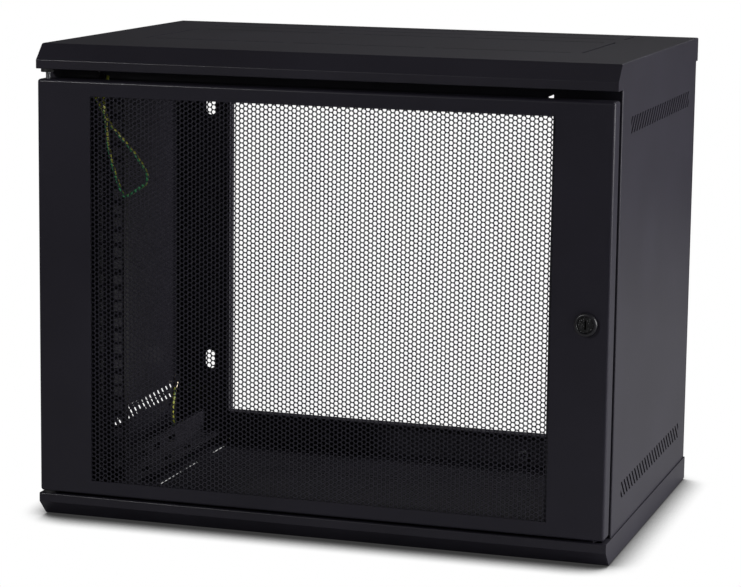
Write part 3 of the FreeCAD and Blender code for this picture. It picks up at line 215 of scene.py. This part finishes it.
class Shader:
    """The nodes of a material or of the world, and the one way in which they are made."""

    def __init__(self, owner):
        owner.use_nodes = True
        self.owner = owner
        self.tree = owner.node_tree
        self.output = next(node for node in self.tree.nodes if node.name.endswith("Output"))
        self.surface = self.output.inputs["Surface"].links[0].from_node

    def node(self, kind, settings=None, **inputs):
        made = self.tree.nodes.new(kind)
        for key, setting in (settings or {}).items():
            if key == "stops":
                set_stops(made.color_ramp, setting)
            else:
                setattr(made, key, setting)
        for key, content in inputs.items():
            number = key[1:]
            self.feed(made.inputs[int(number) if number.isdigit() else key], content)
        return made

    def feed(self, socket, content):
        """Link a value or a socket to this socket, or set it to a constant."""
        if isinstance(content, Value):
            content = content.socket
        if isinstance(content, bpy.types.NodeSocket):
            self.tree.links.new(content, socket)
        else:
            socket.default_value = content

    def finish(self, **inputs):
        """Feed the surface shader: spaces in its socket names are written as underscores."""
        for key, content in inputs.items():
            self.feed(self.surface.inputs[key.replace("_", " ")], content)
        return self.owner

    def choose(self, factor, first, second):
        """Show the second shader in place of the first where the factor is 1."""
        mixed = self.node("ShaderNodeMixShader", None, _0=factor, _1=first.outputs[0],
                          _2=second.outputs[0])
        self.feed(self.output.inputs["Surface"], mixed.outputs[0])

    def coordinates(self, kind="Object"):
        return self.node("ShaderNodeTexCoord").outputs[kind]

    def noise(self, scale, detail=2.0):
        """Noise between 0 and 1, with about this many grains to the metre."""
        return Value(self, self.node("ShaderNodeTexNoise", None, Vector=self.coordinates(),
                                     Scale=scale, Detail=detail).outputs[0])

    def mix(self, factor, first, second):
        """A colour between two colours."""
        return self.node("ShaderNodeMix", {"data_type": "RGBA"}, _0=factor, _6=first,
                         _7=second).outputs[2]

    def scaled(self, colour, factor):
        """A colour made darker by a factor that changes over the surface."""
        return self.node("ShaderNodeVectorMath", {"operation": "SCALE"}, _0=colour,
                         Scale=factor).outputs[0]

    def bump(self, height, strength, distance):
        return self.node("ShaderNodeBump", None, Height=height, Strength=strength,
                         Distance=distance).outputs[0]


print("shader nodes: one method makes them all")

# %% [markdown]
# Numbers that change over a surface are written as ordinary arithmetic. This small class wraps
# one socket and builds a Math node for each operator, so a mask reads like the formula that
# it is. The reflected forms let a plain number stand first, as in 1 - mask.

# %% Shader arithmetic


class Value:
    """One number that changes over the surface."""

    def __init__(self, shader, socket):
        self.shader = shader
        self.socket = socket

    def combine(self, operation, *others, swapped=False):
        """A Math node on this value and the others, with the others first where swapped."""
        order = (*others, self) if swapped else (self, *others)
        inputs = {f"_{number}": content for number, content in enumerate(order)}
        made = self.shader.node("ShaderNodeMath", {"operation": operation}, **inputs)
        return Value(self.shader, made.outputs[0])

    def __add__(self, other):
        return self.combine("ADD", other)

    def __sub__(self, other):
        return self.combine("SUBTRACT", other)

    def __rsub__(self, other):
        return self.combine("SUBTRACT", other, swapped=True)

    def __mul__(self, other):
        return self.combine("MULTIPLY", other)

    def __truediv__(self, other):
        return self.combine("DIVIDE", other)

    def __rtruediv__(self, other):
        return self.combine("DIVIDE", other, swapped=True)

    def __abs__(self):
        return self.combine("ABSOLUTE")

    __radd__ = __add__
    __rmul__ = __mul__

    def at_least(self, other):
        return self.combine("MAXIMUM", other)

    def at_most(self, other):
        return self.combine("MINIMUM", other)

    def above(self, threshold, softness):
        """0 below the threshold, 1 above it, with a soft step between."""
        return ((self - threshold) / softness + 0.5).at_least(0.0).at_most(1.0)


print("shader arithmetic: +, -, *, / and abs")

# %% [markdown]
# Colours are written as on a paint chart, from 0 to 255, because that is how a finish is
# matched. Blender's colour sockets are linear, so each level is converted.

# %% Paint chart colours
WHITE = (1, 1, 1, 1)


def srgb(red, green, blue):
    """A colour written as on a paint chart, 0 to 255, made linear."""
    def linear(level):
        share = level / 255
        return share / 12.92 if share <= 0.04045 else ((share + 0.055) / 1.055) ** 2.4
    return (linear(red), linear(green), linear(blue), 1)


def material_shader(name):
    """The shader of a new material with this name."""
    return Shader(bpy.data.materials.new(name))


print("half-way grey on the chart is", round(srgb(128, 128, 128)[0], 3), "of white's light")

# %% [markdown]
# ## Powder coat
#
# The sheet is coated with a black, finely textured powder. Close up it is a field of tiny
# round grains; from a metre away they only break the gloss into a soft sheen. So the colour
# stays nearly flat, a small noise drives the bump and the roughness, and a second, larger
# one gives the faint cloudiness of a sprayed panel. The ground's own reflection is weak. A
# thin, smoother clear coat over it gives the edges their narrow glint.

# %% Powder coat
GRAIN_SCALE = 2600
PEEL_SCALE = 420                # the shallow waves of a sprayed surface
CLOUD_SCALE = 9
FLECK_SHARE = 0.25
GRAIN_ROUGHNESS = 0.1
POWDER_ROUGHNESS = 0.55
POWDER_REFLECTION = 0.16
CLEAR_COAT = 0.2
CLEAR_COAT_ROUGHNESS = 0.22


def powder_coat(name, colour, sheen_colour):
    shader = material_shader(name)
    grain = shader.noise(GRAIN_SCALE)
    orange_peel = shader.noise(PEEL_SCALE, detail=1.0)
    cloud = shader.noise(CLOUD_SCALE, detail=3.0)
    tint = shader.mix(cloud.above(0.5, 0.5), colour, sheen_colour)
    speck = grain.above(0.62, 0.1)
    flecked = shader.mix(speck * FLECK_SHARE, tint, sheen_colour)
    height = grain * 0.7 + orange_peel * 0.3
    return shader.finish(Base_Color=flecked,
                         Roughness=POWDER_ROUGHNESS + GRAIN_ROUGHNESS * (grain - 0.5),
                         Normal=shader.bump(height, 0.25, 0.12 * MM),
                         Specular_IOR_Level=POWDER_REFLECTION, Coat_Weight=CLEAR_COAT,
                         Coat_Roughness=CLEAR_COAT_ROUGHNESS)


case_paint = powder_coat("case_powder_coat", srgb(33, 31, 39), srgb(40, 38, 47))
door_paint = powder_coat("door_powder_coat", srgb(31, 29, 38), srgb(37, 35, 45))
# Painted light: the parts inside get the same powder painted paler, for the light that reaches
# them.
painted_light_inner_coat = powder_coat("inner_coat_painted_light", srgb(47, 45, 52), srgb(54, 52, 60))
print("powder coats:", case_paint.name, door_paint.name, painted_light_inner_coat.name)

# %% [markdown]
# ## Metals and plastics
#
# Nuts and bolts are zinc plated: a pale, slightly mottled steel. The terminals are tinned
# copper and the spring is bare steel wire. All three are one recipe: two tones in soft spots,
# and a finer noise in the gloss. The lock's plug is blackened nickel with a few tiny specks of
# bright metal, painted glints, so one mask drives both its colour and how metallic it is.

# %% Metals
SPOT_SCALE = 160
FINE_SCALE = 900
GLINT_SPECK_SCALE = 850


def metal(name, colour, dark_colour, roughness):
    shader = material_shader(name)
    spots = shader.noise(SPOT_SCALE, detail=3.0)
    fine = shader.noise(FINE_SCALE, detail=1.0)
    tint = shader.mix(spots.above(0.5, 0.4), dark_colour, colour)
    return shader.finish(Base_Color=tint, Metallic=1.0,
                         Roughness=roughness + 0.12 * (fine - 0.5),
                         Normal=shader.bump(fine, 0.08, 0.1 * MM))


def metal_with_painted_glints(name, colour, glint_colour, roughness):
    """Blackened metal with a few tiny specks of bright metal: painted glints."""
    shader = material_shader(name)
    # Painted glints: tiny specks of bright metal, placed at random.
    painted_glints = shader.noise(GLINT_SPECK_SCALE, detail=1.0).above(0.66, 0.04)
    return shader.finish(Base_Color=shader.mix(painted_glints, colour, glint_colour), Metallic=painted_glints,
                         Roughness=roughness)


zinc = metal("zinc_plate", srgb(196, 198, 202), srgb(168, 171, 178), 0.34)
nickel = metal_with_painted_glints("black_nickel", srgb(17, 17, 19), srgb(215, 216, 220), 0.3)
spring_steel = metal("spring_steel", srgb(150, 150, 154), srgb(118, 118, 124), 0.3)
tin = metal("tinned_copper", srgb(206, 196, 178), srgb(186, 172, 150), 0.3)
print("metals:", zinc.name, nickel.name, spring_steel.name, tin.name)

# %% [markdown]
# The hinge bushes are moulded nylon, and the lock's rim is black with a soft gloss. Both are
# a smooth dark ground with faint darker patches and a very fine grain, as a mould leaves it.

# %% Plastics
MOULD_GRAIN_SCALE = 1500
PATCH_SCALE = 60
PATCH_SHARE = 0.3
PATCH_LEVEL = 0.7               # of the colour's own level


def plastic(name, colour, roughness):
    shader = material_shader(name)
    grain = shader.noise(MOULD_GRAIN_SCALE)
    patch_colour = (*(PATCH_LEVEL * part for part in colour[:3]), 1)
    tint = shader.mix(shader.noise(PATCH_SCALE) * PATCH_SHARE, colour, patch_colour)
    return shader.finish(Base_Color=tint, Roughness=roughness + 0.1 * (grain - 0.5),
                         Normal=shader.bump(grain, 0.15, 0.05 * MM))


nylon = plastic("black_nylon", srgb(30, 30, 32), 0.5)
lock_black = plastic("lock_black", srgb(26, 25, 30), 0.38)
print("plastics:", nylon.name, lock_black.name)

# %% [markdown]
# ## Sleeve of the leads
#
# The earth leads carry the usual two colours: green, with a yellow stripe over nearly half
# of the way round. The first UV coordinate counts turns round the wire and the second runs
# from 0 to 1 along it, so their sum makes a stripe that winds slowly, as wire off a reel
# does.

# %% Striped sleeve
STRIPE_EDGES = (0.15, 0.62)     # in turns round the wire
STRIPE_BLUR = 0.02
SLEEVE_GRAIN_SCALE = 1200


def striped_sleeve(name, ground, stripe, twists):
    shader = material_shader(name)
    place = shader.node("ShaderNodeSeparateXYZ", None, Vector=shader.coordinates("UV"))
    wound = Value(shader, place.outputs[0]) + Value(shader, place.outputs[1]) * twists
    turn = wound.combine("FRACT")
    first_edge, last_edge = STRIPE_EDGES
    inside = turn.above(first_edge, STRIPE_BLUR) * (1.0 - turn.above(last_edge, STRIPE_BLUR))
    fine = shader.noise(SLEEVE_GRAIN_SCALE)
    return shader.finish(Base_Color=shader.mix(inside, ground, stripe),
                         Roughness=0.35 + 0.1 * (fine - 0.5),
                         Normal=shader.bump(fine, 0.1, 0.05 * MM))


lead_sleeve = striped_sleeve("earth_sleeve", srgb(62, 150, 98), srgb(206, 206, 88), twists=1.3)
for lead in leads.values():
    lead["tube"].data.materials.append(lead_sleeve)
print("striped:", ", ".join(leads))

# %% [markdown]
# ## Finishes of the frame's own pieces
#
# The folded sheets, rails, lock and hinge come with their final shape and only need their
# finish. What stands inside has a paler copy of the same coat, painted light that stands in
# for the light reaching the parts inside the case.
# Every piece that isn't listed is a fastener or a pin, and is zinc plated.

# %% Finishes
FINISHES = {
    "top_cover": case_paint,
    "base_tray": case_paint,
    "right_side_panel": case_paint,
    "left_side_panel": case_paint,
    "rear_frame": painted_light_inner_coat,
    "front_top_rail": case_paint,
    "front_bottom_rail": case_paint,
    "depth_bracket_lower_left": painted_light_inner_coat,
    "depth_bracket_lower_right": painted_light_inner_coat,
    "depth_bracket_upper_left": painted_light_inner_coat,
    "depth_bracket_upper_right": painted_light_inner_coat,
    "rack_rail_left": painted_light_inner_coat,
    "rack_rail_right": painted_light_inner_coat,
    "door_frame": door_paint,
    "door_mesh": door_paint,
    "lock_housing": lock_black,
    "lock_plug": nickel,
    "hinge_bush_upper": nylon,
    "hinge_bush_lower": nylon,
    "ring_terminals": tin,
}
for name, piece in nodes.items():
    piece.data.materials.clear()
    piece.data.materials.append(FINISHES.get(name, zinc))
print("finished:", len(FINISHES), "pieces by name and the other", len(nodes) - len(FINISHES),
      "in zinc")

# %% [markdown]
# ## The perforated sheet
#
# The sheet behind the door's window is punched with round holes, each in the middle of six
# others, so close together that more than half of the sheet is air. One hole is modelled as
# a flat ring: its outer edge is a hexagon, its inner edge the hole. Only these few faces are
# ever made by hand.

# %% One hole of the sheet
HOLE_DIAMETER = 4.05 * MM
HOLE_PITCH = 4.87 * MM


@contextmanager
def editing(piece, whole=True):
    """Edit this piece alone, all of it selected or with its selection as it is."""
    activate(piece)
    bpy.ops.object.mode_set(mode="EDIT")
    if whole:
        bpy.ops.mesh.select_all(action="SELECT")
    yield
    bpy.ops.object.mode_set(mode="OBJECT")


def hexagonal_ring(cell_radius, hole_radius):
    """A flat hexagon with a round hole of twelve sides, facing the front."""
    bpy.ops.mesh.primitive_circle_add(vertices=6, radius=cell_radius, fill_type="NOTHING",
                                      location=ORIGIN)
    ring = bpy.context.object
    with editing(ring):
        bpy.ops.transform.rotate(value=math.radians(30), orient_axis="Z",
                                 center_override=ORIGIN)
        bpy.ops.mesh.subdivide(number_cuts=1)
        bpy.ops.mesh.extrude_edges_move()
        bpy.ops.transform.tosphere(value=1)
    inner = min(vertex.co.length for vertex in ring.data.vertices if vertex.select)
    with editing(ring, whole=False):
        bpy.ops.transform.resize(value=(hole_radius / inner,) * 3, center_override=ORIGIN)
        bpy.ops.mesh.select_all(action="SELECT")
        bpy.ops.transform.rotate(value=math.radians(90), orient_axis="X",
                                 center_override=ORIGIN)
    return ring


ring = hexagonal_ring(HOLE_PITCH / math.sqrt(3), HOLE_DIAMETER / 2)
print("one hole:", len(ring.data.vertices), "vertices,", len(ring.data.polygons), "faces")

# %% [markdown]
# Array modifiers lay the hexagons side by side, like a honeycomb: one column, its neighbour
# half a hole higher, and then pairs of columns over the whole width. The field is a little
# too large and is trimmed straight on all four sides, as a shear cuts sheet from the coil.

# %% Holes side by side
COLUMN_SPACING = HOLE_PITCH * math.sqrt(3) / 2
TOUCHING = 0.05 * MM
LEFTWARDS, RIGHTWARDS, DOWNWARDS, UPWARDS = (-1, 0, 0), (1, 0, 0), (0, 0, -1), (0, 0, 1)

mesh_low, mesh_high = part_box("door_mesh")
sheet_width = mesh_high.x - mesh_low.x
sheet_height = mesh_high.z - mesh_low.z
column_pairs = math.ceil(sheet_width / COLUMN_SPACING / 2) + 1
row_count = math.ceil(sheet_height / HOLE_PITCH) + 2


def apply_modifier(piece, kind, **settings):
    """Add a modifier of this kind with its settings, and make it part of the mesh."""
    activate(piece)
    modifier = piece.modifiers.new(kind.lower(), kind)
    for key, setting in settings.items():
        setattr(modifier, key, setting)
    bpy.ops.object.modifier_apply(modifier=modifier.name)


def repeat(piece, offset, count):
    """Repeat the piece by a fixed step and join the copies where they meet."""
    apply_modifier(piece, "ARRAY", use_relative_offset=False, use_constant_offset=True,
                   constant_offset_displace=offset, count=count, use_merge_vertices=True,
                   merge_threshold=TOUCHING)


def trim(piece, point, outward):
    """Cut the piece at a plane and throw away what lies outside it."""
    with editing(piece):
        bpy.ops.mesh.bisect(plane_co=point, plane_no=outward, clear_outer=True)


repeat(ring, (0, 0, HOLE_PITCH), row_count)
repeat(ring, (COLUMN_SPACING, 0, HOLE_PITCH / 2), 2)
repeat(ring, (2 * COLUMN_SPACING, 0, 0), column_pairs)
with editing(ring):
    bpy.ops.transform.translate(value=((0.5 - column_pairs) * COLUMN_SPACING, mesh_high.y,
                                       mesh_low.z - HOLE_PITCH / 2))
for point, outward in ((mesh_low, LEFTWARDS), (mesh_low, DOWNWARDS),
                       (mesh_high, RIGHTWARDS), (mesh_high, UPWARDS)):
    trim(ring, point, outward)
print("perforation:", 2 * column_pairs, "columns of", row_count, "holes")

# %% [markdown]
# Solidify gives the field the thickness of the steel. It is cut into upright strips first,
# each a piece of its own, to keep every mesh light.

# %% Strips of the sheet
SHEET_STRIPS = 5
strip_width = sheet_width / SHEET_STRIPS


def copy_of(piece, name):
    """A second object with a mesh of its own."""
    copy = piece.copy()
    copy.data = piece.data.copy()
    copy.name = name
    bpy.context.collection.objects.link(copy)
    return copy


for index in range(SHEET_STRIPS):
    strip = copy_of(ring, f"perforated_strip_{index + 1}")
    strip_left = mesh_low.x + index * strip_width
    if index > 0:
        trim(strip, (strip_left, 0, 0), LEFTWARDS)
    if index < SHEET_STRIPS - 1:
        trim(strip, (strip_left + strip_width, 0, 0), RIGHTWARDS)
    apply_modifier(strip, "SOLIDIFY", thickness=mesh_high.y - mesh_low.y)
    front = min(vertex.co.y for vertex in strip.data.vertices)
    with editing(strip):
        bpy.ops.mesh.normals_make_consistent(inside=False)
        bpy.ops.transform.translate(value=(0, mesh_low.y - front, 0))
    strip.data.materials.append(door_paint)
    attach(strip, "door")
    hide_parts("door_mesh")
    print(strip.name, len(strip.data.polygons), "faces")
bpy.data.objects.remove(ring)

# %% [markdown]
# ## Dust strip
#
# A flat strip of black rubber is glued under the fold of the front rail and closes the last
# two millimetres above the door, so no light comes through there. It ends where the rail is
# notched for its posts. It is a bar with its two lower edges rounded, so those two edges are
# found by their place and bevelled.

# %% Dust strip
STRIP_LENGTH = 450 * MM
STRIP_WIDTH = 5 * MM
STRIP_DEPTH = 2.2 * MM
STRIP_ROUNDING = 0.6 * MM
STRIP_SMOOTHING = math.radians(30)
rail_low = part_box("front_top_rail")[0]
strip_level = rail_low.z - STRIP_DEPTH / 2

bpy.ops.mesh.primitive_cube_add(size=1, location=ORIGIN)
dust_strip = bpy.context.object
dust_strip.name = "dust_strip"
with editing(dust_strip):
    bpy.ops.transform.resize(value=(STRIP_LENGTH, STRIP_WIDTH, STRIP_DEPTH))
    bpy.ops.transform.translate(value=(0, rail_low.y + STRIP_WIDTH / 2, strip_level))
for edge in dust_strip.data.edges:
    ends = [dust_strip.data.vertices[index].co for index in edge.vertices]
    low = all(end.z < strip_level for end in ends)
    edge.select = low and ends[0].y == ends[1].y
with editing(dust_strip, whole=False):
    bpy.ops.mesh.bevel(offset=STRIP_ROUNDING, segments=3)
bpy.ops.object.shade_smooth_by_angle(angle=STRIP_SMOOTHING)
dust_strip.data.materials.append(nylon)
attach(dust_strip, "case")
print("dust strip:", len(dust_strip.data.polygons), "faces")

# %% [markdown]
# ## The plunger's spring
#
# The upper hinge pin is pushed up by a small compression spring with ground ends. A circle
# the size of the wire is swept round and up by a Screw modifier, which winds a spring as a
# coiling machine does.

# %% Wound coil
SPRING_WIRE = 0.9 * MM
SPRING_TURNS = 8
STEPS_PER_TURN = 24
WIRE_SIDES = 8
spring_low, spring_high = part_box("plunger_spring")
spring_height = spring_high.z - spring_low.z
spring_foot = (spring_low + spring_high) / 2
spring_foot.z = spring_low.z
coil_radius = (spring_high.x - spring_low.x) / 2 - SPRING_WIRE / 2

bpy.ops.mesh.primitive_circle_add(vertices=WIRE_SIDES, radius=SPRING_WIRE / 2,
                                  fill_type="NOTHING", location=ORIGIN)
coil = bpy.context.object
coil.name = "coil_spring"
with editing(coil):
    bpy.ops.transform.rotate(value=math.radians(90), orient_axis="X", center_override=ORIGIN)
    bpy.ops.transform.translate(value=(coil_radius, 0, 0))
apply_modifier(coil, "SCREW", steps=STEPS_PER_TURN, iterations=SPRING_TURNS,
               screw_offset=spring_height / SPRING_TURNS, use_merge_vertices=False)
print("coil:", SPRING_TURNS, "turns,", len(coil.data.polygons), "faces")

# %% [markdown]
# The wire's thickness makes the coil a little too long. Its two ends are cut flat where it is
# seated, as a grinder does, and closed.

# %% Ground ends
SPRING_SMOOTHING = math.radians(50)

with editing(coil):
    bpy.ops.transform.translate(value=spring_foot)
    for seat, outward in ((spring_low, DOWNWARDS), (spring_high, UPWARDS)):
        bpy.ops.mesh.select_all(action="SELECT")
        bpy.ops.mesh.bisect(plane_co=seat, plane_no=outward, clear_outer=True)
    bpy.ops.mesh.select_all(action="DESELECT")
    bpy.ops.mesh.select_non_manifold()
    bpy.ops.mesh.fill()
    bpy.ops.mesh.select_all(action="SELECT")
    bpy.ops.mesh.normals_make_consistent(inside=False)
bpy.ops.object.shade_smooth_by_angle(angle=SPRING_SMOOTHING)
coil.data.materials.append(spring_steel)
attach(coil, "door")
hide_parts("plunger_spring")
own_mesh(coil)

# %% [markdown]
# ## Floor
#
# The cabinet stands on a white floor that runs into a white background without a line. The
# floor darkens only where the cabinet hides the sky from it: a narrow, soft painted contact
# shadow along the base, which Ambient Occlusion gives. Under the cabinet the floor is painted
# white as well, as if the sheet were lit from below, so it stays white where the slits of the
# base show it.

# %% Floor and its contact shadow
FLOOR_SIZE = 40
FLOOR_DROP = 0.5 * MM           # under the base, so the two faces don't fight
SHADOW_REACH = 0.05
SHADOW_SAMPLES = 16
SHADOW_STOPS = [                # how open the floor is, and how white it then looks
    (0.3, (0.04, 0.04, 0.04, 1)),
    (0.5, (0.16, 0.16, 0.16, 1)),
    (0.65, (0.5, 0.5, 0.5, 1)),
    (0.85, WHITE),
]
UNDER_HALF_WIDTH = 0.285        # the part under the cabinet that stays white
UNDER_HALF_DEPTH = 0.17
UNDER_BLUR = 0.01

bpy.ops.mesh.primitive_plane_add(size=FLOOR_SIZE, location=ORIGIN)
floor = bpy.context.object
floor.name = "floor"
with editing(floor):
    bpy.ops.transform.translate(value=(0, 0, -FLOOR_DROP))
floor_shader = material_shader("white_floor")
openness = floor_shader.node("ShaderNodeAmbientOcclusion", {"samples": SHADOW_SAMPLES},
                             Distance=SHADOW_REACH).outputs["AO"]
shadow = floor_shader.node("ShaderNodeValToRGB", {"stops": SHADOW_STOPS}, Fac=openness)
place = floor_shader.node("ShaderNodeSeparateXYZ", None, Vector=floor_shader.coordinates())
across = Value(floor_shader, place.outputs[0])
deep = Value(floor_shader, place.outputs[1])
# Painted light: under the cabinet the floor is painted white, without its shadow.
below = ((1.0 - abs(across).above(UNDER_HALF_WIDTH, UNDER_BLUR))
         * (1.0 - abs(deep).above(UNDER_HALF_DEPTH, UNDER_BLUR)))
whiteness = floor_shader.mix(below, shadow.outputs[0], WHITE)
print("floor:", FLOOR_SIZE, "m wide, with a shadow of", round(SHADOW_REACH / MM), "mm")

# %% [markdown]
# The camera sees that white as it is. Gloss sees it too, but weaker, and fading with the
# distance from the cabinet, so the door reflects little of the floor in front of it. Light
# that bounces meets a plain, matt, pale grey floor.

# %% Floor as each ray sees it
GLOW_CENTRE = (0.05, 0.35)
GLOW_RADIUS = 1.7
GLOW_BLUR = 1.6
MIRROR_LEVEL = 0.36

rays = floor_shader.node("ShaderNodeLightPath").outputs
straight = Value(floor_shader, rays["Is Camera Ray"])
seen = straight.at_least(rays["Is Glossy Ray"]).at_least(rays["Is Transmission Ray"])
sideways = across - GLOW_CENTRE[0]
behind = deep - GLOW_CENTRE[1]
distance = (sideways * sideways + behind * behind).combine("SQRT")
mirrored = (1.0 - distance.above(GLOW_RADIUS, GLOW_BLUR)) * MIRROR_LEVEL
level = straight + (1.0 - straight) * mirrored
shown = floor_shader.node("ShaderNodeEmission", None,
                          Color=floor_shader.scaled(whiteness, level))
floor_shader.finish(Base_Color=(0.8, 0.8, 0.8, 1), Roughness=0.9)
floor_shader.choose(seen, floor_shader.surface, shown)
floor.data.materials.append(floor_shader.owner)
print("floor nodes:", len(floor_shader.tree.nodes))

# %% [markdown]
# ## Light
#
# The camera sees a white world; everything else sees a dim one, as in a studio with dark
# walls.

# %% World
WORLD_LEVEL = 0.06

world = Shader(bpy.data.worlds.new("studio"))
world.finish(Color=WHITE, Strength=WORLD_LEVEL)
white_world = world.node("ShaderNodeBackground", None, Color=WHITE)
camera_rays = world.node("ShaderNodeLightPath").outputs["Is Camera Ray"]
world.choose(camera_rays, world.surface, white_world)
bpy.context.scene.world = world.owner
bpy.context.scene.view_settings.view_transform = "Standard"
print("world nodes:", len(world.tree.nodes))

# %% [markdown]
# A large softbox stands to the right and lights the side panel, a weaker one hangs overhead,
# and a small lamp high on the left of the front draws a thin line of light along each bend
# while the door stays nearly black. A lamp behind lights the back.

# %% Lamps
LAMPS = {                       # place, size and power in watts
    "right": ((3.2, 0.4, 0.7), 2.2, 190),
    "overhead": ((0.3, 1.3, 2.4), 1.6, 9),
    "front": ((-1.55, -2.9, 1.8), 0.2, 36),
    "back": ((1.2, 2.4, 2.8), 1.4, 22),
}
LAMP_TARGET = Vector((0, 0, 0.25))

for name, (place, size, power) in LAMPS.items():
    bpy.ops.object.light_add(type="AREA", location=place)
    lamp = bpy.context.object
    lamp.name = f"lamp_{name}"
    lamp.data.size = size
    lamp.data.energy = power
    aim = LAMP_TARGET - Vector(place)
    lamp.rotation_euler = aim.to_track_quat("-Z", "Y").to_euler()
print("lamps:", ", ".join(LAMPS))
